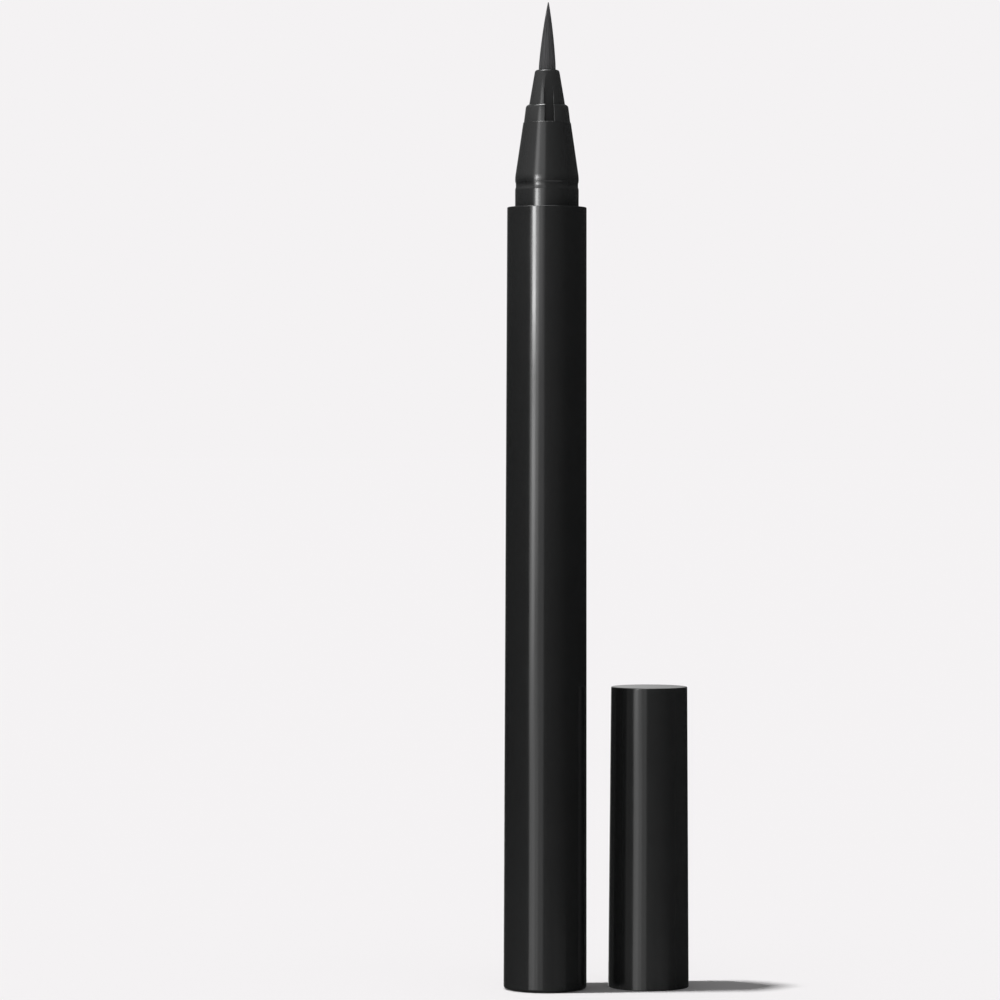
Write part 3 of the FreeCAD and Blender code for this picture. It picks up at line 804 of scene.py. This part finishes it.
def steel(name, tone, rough, grain):
    """Stainless steel: full metal, with a gloss broken by fine marks."""
    material, tree = new_material(name)
    place = add(tree, "ShaderNodeTexCoord").outputs["Object"]
    marks = add(
        tree, "ShaderNodeTexNoise", inputs={"Vector": place, "Scale": per_mm(grain), "Detail": 4.0}
    )
    bump = add(
        tree, "ShaderNodeBump",
        inputs={
            "Height": marks.outputs["Fac"], "Strength": STEEL_STRENGTH, "Distance": STEEL_RELIEF * MM,
        },
    )
    gloss = spread(tree, marks.outputs["Fac"], *rough)
    inputs = {
        "Base Color": colour(tone), "Metallic": 1.0, "Roughness": gloss, "Normal": bump.outputs["Normal"],
    }
    shader = add(tree, "ShaderNodeBsdfPrincipled", inputs=inputs)
    add(tree, "ShaderNodeOutputMaterial", inputs={"Surface": shader.outputs["BSDF"]})
    return material


def dress(piece, material):
    """Gives a piece or a CAD node its one material."""
    if not piece.material_slots:
        piece.data.materials.append(material)
    for place in piece.material_slots:
        place.material = material


# Stage

CAMERA_PLACE = (-6.0, -559.0, 70.6)
CAMERA_PITCH = -0.74
CAMERA_ROLL = 0.13
SENSOR = 36.0
FOCAL_SHARE = 4.312
CLIP_START = 10.0
CLIP_END = 200000.0
FLOOR_SIZE = 40000.0
FLOOR_GAP = 0.01
FLOOR_TONE = "#f4f2f3"
DOME_TONE = 0.2
SUN_STRENGTH = 2.6
SUN_SPREAD = 2.4
SUN_HEIGHT = 75.9
SUN_TURN = 6.3
LAMP_REACH = 400.0
CARD_REACH = 1000.0
CARD_FOOT = -600.0
CARD_TOP = 1400.0
CARD_SIDES = 120
HALF_TURN = 180.0

# How bright the cards are by azimuth, low down and high up: 0 is the camera's side, minus is the left
LOW_LEVELS = [
    (-180.0, 0.8),
    (-172.0, 0.7),
    (-165.0, 0.25),
    (-155.0, 0.05),
    (-140.0, 0.05),
    (-120.0, 0.09),
    (-104.0, 0.13),
    (-90.0, 0.18),
    (-75.0, 0.23),
    (-55.0, 0.28),
    (-20.0, 0.32),
    (0.0, 0.34),
    (20.0, 0.24),
    (40.0, 0.14),
    (60.0, 0.04),
    (100.0, 0.02),
    (165.0, 0.02),
    (173.0, 0.12),
    (180.0, 0.8),
]
HIGH_LEVELS = [
    (-180.0, 0.8),
    (-172.0, 0.7),
    (-165.0, 0.35),
    (-150.0, 0.25),
    (-120.0, 0.45),
    (-90.0, 0.8),
    (-60.0, 0.98),
    (-40.0, 0.8),
    (-15.0, 0.55),
    (0.0, 0.4),
    (30.0, 0.3),
    (60.0, 0.24),
    (90.0, 0.16),
    (120.0, 0.14),
    (150.0, 0.08),
    (172.0, 0.08),
    (180.0, 0.8),
]
HIGH_FOOT = 100.0
HIGH_TOP = 560.0

# How the low levels change with height
RISE_LEVELS = [(-600.0, 0.5), (-240.0, 1.1), (-120.0, 1.2), (-40.0, 0.6), (14.0, 0.75), (148.0, 1.1)]

# Azimuths, lowest and highest point, and brightness of the upright lamps, as the gloss shows them
STRIPS = [
    (-48.0, -35.0, 10.0, 330.0, 2.3),
    (-35.0, -24.0, 10.0, 330.0, 1.25),
    (-46.0, -37.0, -60.0, 10.0, 1.7),
    (-37.0, -30.0, -60.0, 10.0, 1.95),
    (-30.0, -22.0, -60.0, 10.0, 1.2),
    (-24.0, -7.0, -60.0, 330.0, 0.7),
    (-42.0, -32.0, 25.0, 47.0, 1.5),
    (-42.0, -32.0, 47.0, 60.0, 2.3),
    (-42.0, -32.0, 60.0, 80.0, 4.5),
    (-42.0, -32.0, 80.0, 99.5, 0.3),
    (-42.0, -32.0, 99.5, 108.0, 27.0),
    (-42.0, -32.0, 108.0, 190.0, 15.0),
    (-32.0, -23.0, 47.0, 97.0, 1.0),
    (-32.0, -24.0, 97.0, 190.0, 3.0),
    (-26.0, -13.0, 97.0, 190.0, 0.9),
    (25.0, 60.0, -60.0, -36.0, 0.15),
    (-44.0, -33.0, 190.0, 330.0, 0.8),
    (-24.0, -9.0, 190.0, 330.0, 0.4),
]

# Overhead lamps: first and last height in degrees above the left horizon, and brightness
TOP_LAMPS = [
    (48.0, 58.0, 3.0),
    (58.0, 68.0, 10.0),
    (68.0, 80.0, 20.0),
    (80.0, 91.0, 8.0),
    (91.0, 105.0, 3.5),
]
TOP_FOOT = 105.0
TOP_REACH = 400.0
TOP_DEPTH = 140.0

# The floor's glow, which only faces that look down catch
GLOW_LEVEL = 0.55
GLOW_SPREAD = 110.0
GLOW_WIDTH = 320.0
GLOW_NEAR = 15.0
GLOW_FAR = 155.0


def make_camera():
    """The camera, at the photograph's place and angle."""
    deselect()
    place = [part * MM for part in CAMERA_PLACE]
    turn = (math.radians(90 + CAMERA_PITCH), math.radians(-CAMERA_ROLL), 0)
    bpy.ops.object.camera_add(location=place, rotation=turn)
    camera = bpy.context.object
    camera.data.sensor_width = SENSOR
    camera.data.lens = SENSOR * FOCAL_SHARE
    camera.data.clip_start = CLIP_START * MM
    camera.data.clip_end = CLIP_END * MM
    bpy.context.scene.camera = camera


def make_floor():
    """A pale matt floor, clear from below. The black gloss shows the dim cards instead of it."""
    deselect()
    bpy.ops.mesh.primitive_plane_add(size=FLOOR_SIZE * MM, location=(0, 0, -FLOOR_GAP * MM))
    floor = bpy.context.object
    floor.name = "floor"
    material, tree = new_material("pale matt paper")
    paper = add(tree, "ShaderNodeBsdfDiffuse", inputs={"Color": colour(FLOOR_TONE)})
    clear = add(tree, "ShaderNodeBsdfTransparent")
    below = add(tree, "ShaderNodeNewGeometry").outputs["Backfacing"]
    sheet = add(
        tree, "ShaderNodeMixShader", inputs={0: below, 1: paper.outputs["BSDF"], 2: clear.outputs["BSDF"]}
    )
    add(tree, "ShaderNodeOutputMaterial", inputs={"Surface": sheet.outputs["Shader"]})
    dress(floor, material)
    floor.visible_glossy = False
    floor.visible_shadow = False


def ramp(tree, source, stops, low, high, unit=None):
    """Reads (position, level) pairs at the source's value, which is a share or has a unit."""
    if unit:
        span = add(
            tree, "ShaderNodeMapRange",
            inputs={"Value": source, "From Min": low * unit, "From Max": high * unit},
        )
        source = span.outputs["Result"]
    node = add(tree, "ShaderNodeValToRGB", inputs={"Fac": source})
    marks = node.color_ramp.elements
    while len(marks) < len(stops):
        marks.new(1.0)
    for mark, (position, level) in zip(marks, stops):
        mark.position = (position - low) / (high - low)
        mark.color = (level, level, level, 1.0)
    return node.outputs["Color"]


def card_grey():
    """The cards' dim glow, by azimuth and by height."""
    material, tree = new_material("grey studio card")
    place = add(tree, "ShaderNodeTexCoord").outputs["Object"]
    faced = add(tree, "ShaderNodeMapping", inputs={"Vector": place, "Rotation": (0, 0, math.pi / 2)})
    turn = add(
        tree, "ShaderNodeTexGradient", {"gradient_type": "RADIAL"}, {"Vector": faced.outputs["Vector"]}
    )
    height = add(tree, "ShaderNodeSeparateXYZ", inputs={"Vector": place}).outputs["Z"]
    low = ramp(tree, turn.outputs["Fac"], LOW_LEVELS, -HALF_TURN, HALF_TURN)
    high = ramp(tree, turn.outputs["Fac"], HIGH_LEVELS, -HALF_TURN, HALF_TURN)
    rise = ramp(tree, height, RISE_LEVELS, RISE_LEVELS[0][0], RISE_LEVELS[-1][0], MM)
    low = add(tree, "ShaderNodeMath", {"operation": "MULTIPLY"}, {0: low, 1: rise})
    share = add(
        tree, "ShaderNodeMapRange",
        inputs={
            "Value": height, "From Min": HIGH_FOOT * MM, "From Max": HIGH_TOP * MM,
            "To Min": low.outputs[0], "To Max": high,
        },
    )
    glow = add(tree, "ShaderNodeEmission", inputs={"Color": share.outputs["Result"], "Strength": 1.0})
    add(tree, "ShaderNodeOutputMaterial", inputs={"Surface": glow.outputs["Emission"]})
    material.cycles.emission_sampling = "NONE"
    return material


def make_cards():
    """Tall dim cards that stand round the object and are seen in its gloss only."""
    deselect()
    place = (0, 0, CARD_FOOT * MM)
    bpy.ops.mesh.primitive_circle_add(
        vertices=CARD_SIDES, radius=CARD_REACH * MM, location=place, fill_type="NGON"
    )
    card = bpy.context.object
    card.name = "studio_cards"
    place_in_mesh(card)
    bpy.ops.object.mode_set(mode="EDIT")
    bpy.ops.mesh.select_mode(type="EDGE")
    bpy.ops.mesh.select_all(action="SELECT")
    rise = (CARD_TOP - CARD_FOOT) * MM
    bpy.ops.mesh.extrude_region_move(TRANSFORM_OT_translate={"value": (0, 0, rise)})
    bpy.ops.object.mode_set(mode="OBJECT")
    dress(card, card_grey())
    card.visible_camera = False
    card.visible_diffuse = False
    card.visible_transmission = False
    card.visible_shadow = False


def soft_lamp(place, turn, width, height, level):
    """A flat lamp with an even glow, that only the gloss catches."""
    deselect()
    bpy.ops.object.light_add(type="AREA", location=[part * MM for part in place], rotation=turn)
    lamp = bpy.context.object
    lamp.data.shape = "RECTANGLE"
    lamp.data.size = width * MM
    lamp.data.size_y = height * MM
    lamp.data.energy = level * math.pi * lamp.data.size * lamp.data.size_y
    lamp.visible_camera = False
    lamp.visible_diffuse = False
    return lamp


def make_strip(start, end, foot, head, level):
    """An upright lamp between two azimuths, seen from the object."""
    middle = math.radians((start + end) / 2)
    width = 2 * LAMP_REACH * math.tan(math.radians((end - start) / 2))
    place = (LAMP_REACH * math.sin(middle), -LAMP_REACH * math.cos(middle), (head + foot) / 2)
    soft_lamp(place, (math.pi / 2, 0, middle), width, head - foot, level)


def make_top_lamp(start, end, level):
    """A lamp overhead, that the rounded edges catch as thin bright lines."""
    left, right = (-TOP_REACH / math.tan(math.radians(height)) for height in (start, end))
    place = ((left + right) / 2, 0, TOP_FOOT + TOP_REACH)
    soft_lamp(place, (0, 0, 0), right - left, TOP_DEPTH, level)


def make_floor_glow():
    """A lamp on the floor that faces up, for the undercut above the click groove."""
    place = (0, -(GLOW_NEAR + GLOW_FAR) / 2, 0)
    lamp = soft_lamp(place, (math.pi, 0, 0), GLOW_WIDTH, GLOW_FAR - GLOW_NEAR, GLOW_LEVEL)
    lamp.data.spread = math.radians(GLOW_SPREAD)


def make_sun():
    """The overhead key lamp, from the left, that throws the thin shadow to the right."""
    deselect()
    tilt = math.radians(90 - SUN_HEIGHT)
    turn = math.radians(SUN_TURN)
    place = (-LAMP_REACH * MM, 0, CARD_REACH * MM)
    bpy.ops.object.light_add(type="SUN", location=place, rotation=(0, -tilt, turn))
    sun = bpy.context.object
    sun.data.energy = SUN_STRENGTH
    sun.data.angle = math.radians(SUN_SPREAD)
    sun.visible_glossy = False


def make_world():
    """A dim even dome that lights the pieces, and the pale backdrop that is seen."""
    world = bpy.data.worlds.new("studio")
    world.use_nodes = True
    bpy.context.scene.world = world
    tree = world.node_tree
    tree.nodes.clear()
    path = add(tree, "ShaderNodeLightPath")
    seen = add(
        tree, "ShaderNodeMath", {"operation": "MAXIMUM"},
        {0: path.outputs["Is Camera Ray"], 1: path.outputs["Is Glossy Ray"]},
    )
    seen = add(
        tree, "ShaderNodeMath", {"operation": "MAXIMUM"},
        {0: seen.outputs[0], 1: path.outputs["Is Transmission Ray"]},
    )
    grey = (DOME_TONE, DOME_TONE, DOME_TONE, 1.0)
    dome = add(tree, "ShaderNodeBackground", inputs={"Color": grey, "Strength": 1.0})
    pale = add(tree, "ShaderNodeBackground", inputs={"Color": colour(FLOOR_TONE), "Strength": 1.0})
    mixed = add(
        tree, "ShaderNodeMixShader",
        inputs={0: seen.outputs[0], 1: dome.outputs["Background"], 2: pale.outputs["Background"]},
    )
    add(tree, "ShaderNodeOutputWorld", inputs={"Surface": mixed.outputs["Shader"]})


def make_stage():
    """Camera, floor, cards, lamps and backdrop."""
    bpy.context.scene.view_settings.view_transform = "Standard"
    make_camera()
    make_floor()
    make_cards()
    for strip in STRIPS:
        make_strip(*strip)
    for lamp in TOP_LAMPS:
        make_top_lamp(*lamp)
    make_floor_glow()
    make_sun()
    make_world()


# Pieces and their finishes

def shown_materials():
    """The finishes of the pieces in view, named for the real materials."""
    return {
        # Gloss ABS: deep black, a mirror softened by the fine orange peel of the mould
        "gloss": moulded(
            "injection moulded gloss ABS", "#1a1b1b", "#1e1f1f",
            rough=(0.12, 0.16), grain=0.9, relief=0.0012,
        ),
        # Cap ABS: the same gloss black as the barrel, painted a shade lighter as painted fill light on the
        # cap, whose side towards the barrel falls in shade
        "cap": moulded(
            "gloss cap ABS lightened with painted fill light", "#1f2020", "#242525",
            rough=(0.12, 0.16), grain=0.9, relief=0.0012,
        ),
        # Nose ABS: the same black with a slightly softer polish
        "nose": moulded(
            "injection moulded ABS nose", "#1e1f1f", "#242525",
            rough=(0.15, 0.2), grain=0.6, relief=0.0015,
        ),
        # Sleeve ABS: the same black, painted a touch greyer than the nose as painted light, so that the
        # step between the two reads
        "sleeve": moulded(
            "ABS sleeve lightened with painted light", "#252626", "#2b2c2c",
            rough=(0.15, 0.2), grain=0.6, relief=0.0015,
        ),
        # Tail ABS: satin from a spark-eroded mould face
        "tail": moulded(
            "satin moulded ABS", "#171818", "#1e1f1f",
            rough=(0.38, 0.48), grain=0.25, relief=0.004,
        ),
        # Nylon brush fibre stained by ink: matt dark grey, streaked along its length
        "brush": fibre(
            "ink stained nylon fibre", "#333334", "#4f4f51",
            count=60, rough=(0.5, 0.7),
        ),
    }


def hidden_materials():
    """The finishes of the pieces inside."""
    return {
        # Black polypropylene of the brush holder: waxy and half dull
        "holder": moulded(
            "moulded black polypropylene", "#161616", "#202020",
            rough=(0.35, 0.45), grain=0.4, relief=0.003,
        ),
        # Bonded polyester fibre of the feed: off-white, long streaks
        "feed": fibre(
            "bonded polyester fibre", "#b9b7ae", "#d8d6cd",
            count=40, rough=(0.7, 0.85),
        ),
        # Natural ABS of the collector: off-white with an even satin
        "collector": moulded(
            "moulded natural ABS", "#d6d6cf", "#e2e2dc",
            rough=(0.3, 0.4), grain=0.4, relief=0.002,
        ),
        # Natural polypropylene of the tank: milky, with faint extrusion drift
        "tank": moulded(
            "extruded natural polypropylene", "#dcdedb", "#e8eae7",
            rough=(0.28, 0.36), grain=0.8, relief=0.002,
        ),
        # Natural polyethylene of the plug: waxy white
        "plug": moulded(
            "moulded natural polyethylene", "#dcdcd6", "#e8e8e2",
            rough=(0.4, 0.5), grain=0.5, relief=0.003,
        ),
        # Polished stainless steel of the mixing ball: a small sharp mirror
        "ball": steel(
            "polished stainless steel", "#c9cbcc",
            rough=(0.06, 0.12), grain=0.2,
        ),
        # Natural polyethylene of the inner cap: off-white, with a waxy half gloss
        "inner_cap": moulded(
            "moulded polyethylene inner cap", "#cfcfc9", "#dddcd6",
            rough=(0.35, 0.45), grain=0.5, relief=0.003,
        ),
        # Drawn stainless wire of the spring: bright glints, softened by the marks of the die
        "spring": steel(
            "drawn stainless spring wire", "#bfc1c2",
            rough=(0.22, 0.34), grain=0.1,
        ),
    }


def place_pieces(finish):
    """Each new piece takes its node's place, body and finish; its slot is listed but not used."""
    made = [
        (make_barrel(), "barrel", "pen", "barrel", "gloss"),
        (make_tail_plug(), "tail_plug", "pen", "tail", "tail"),
        (make_nose(), "nose_cone", "pen", "nose", "nose"),
        (make_sleeve(), "tip_sleeve", "pen", "sleeve", "sleeve"),
        (make_brush(), "brush_tip", "pen", "brush", "brush"),
        (make_cap(), "cap_shell", "cap", "cap", "cap"),
    ]
    for piece, node, body, slot, name in made:
        dress(piece, finish[name])
        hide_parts(node)
        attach(piece, body)


def dress_nodes(finish):
    """The hidden pieces keep their CAD shape and get their finish."""
    kept = {
        "brush_holder": "holder",
        "feed_core": "feed",
        "ink_collector": "collector",
        "ink_tank": "tank",
        "tank_plug": "plug",
        "mixing_ball": "ball",
        "inner_cap": "inner_cap",
        "inner_cap_spring": "spring",
    }
    for node, name in kept.items():
        dress(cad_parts[node], finish[name])


def press_spring():
    """Gives the spring's node a mesh of its own."""
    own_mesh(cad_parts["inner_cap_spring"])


place_pieces(shown_materials())
dress_nodes(hidden_materials())
press_spring()
make_stage()
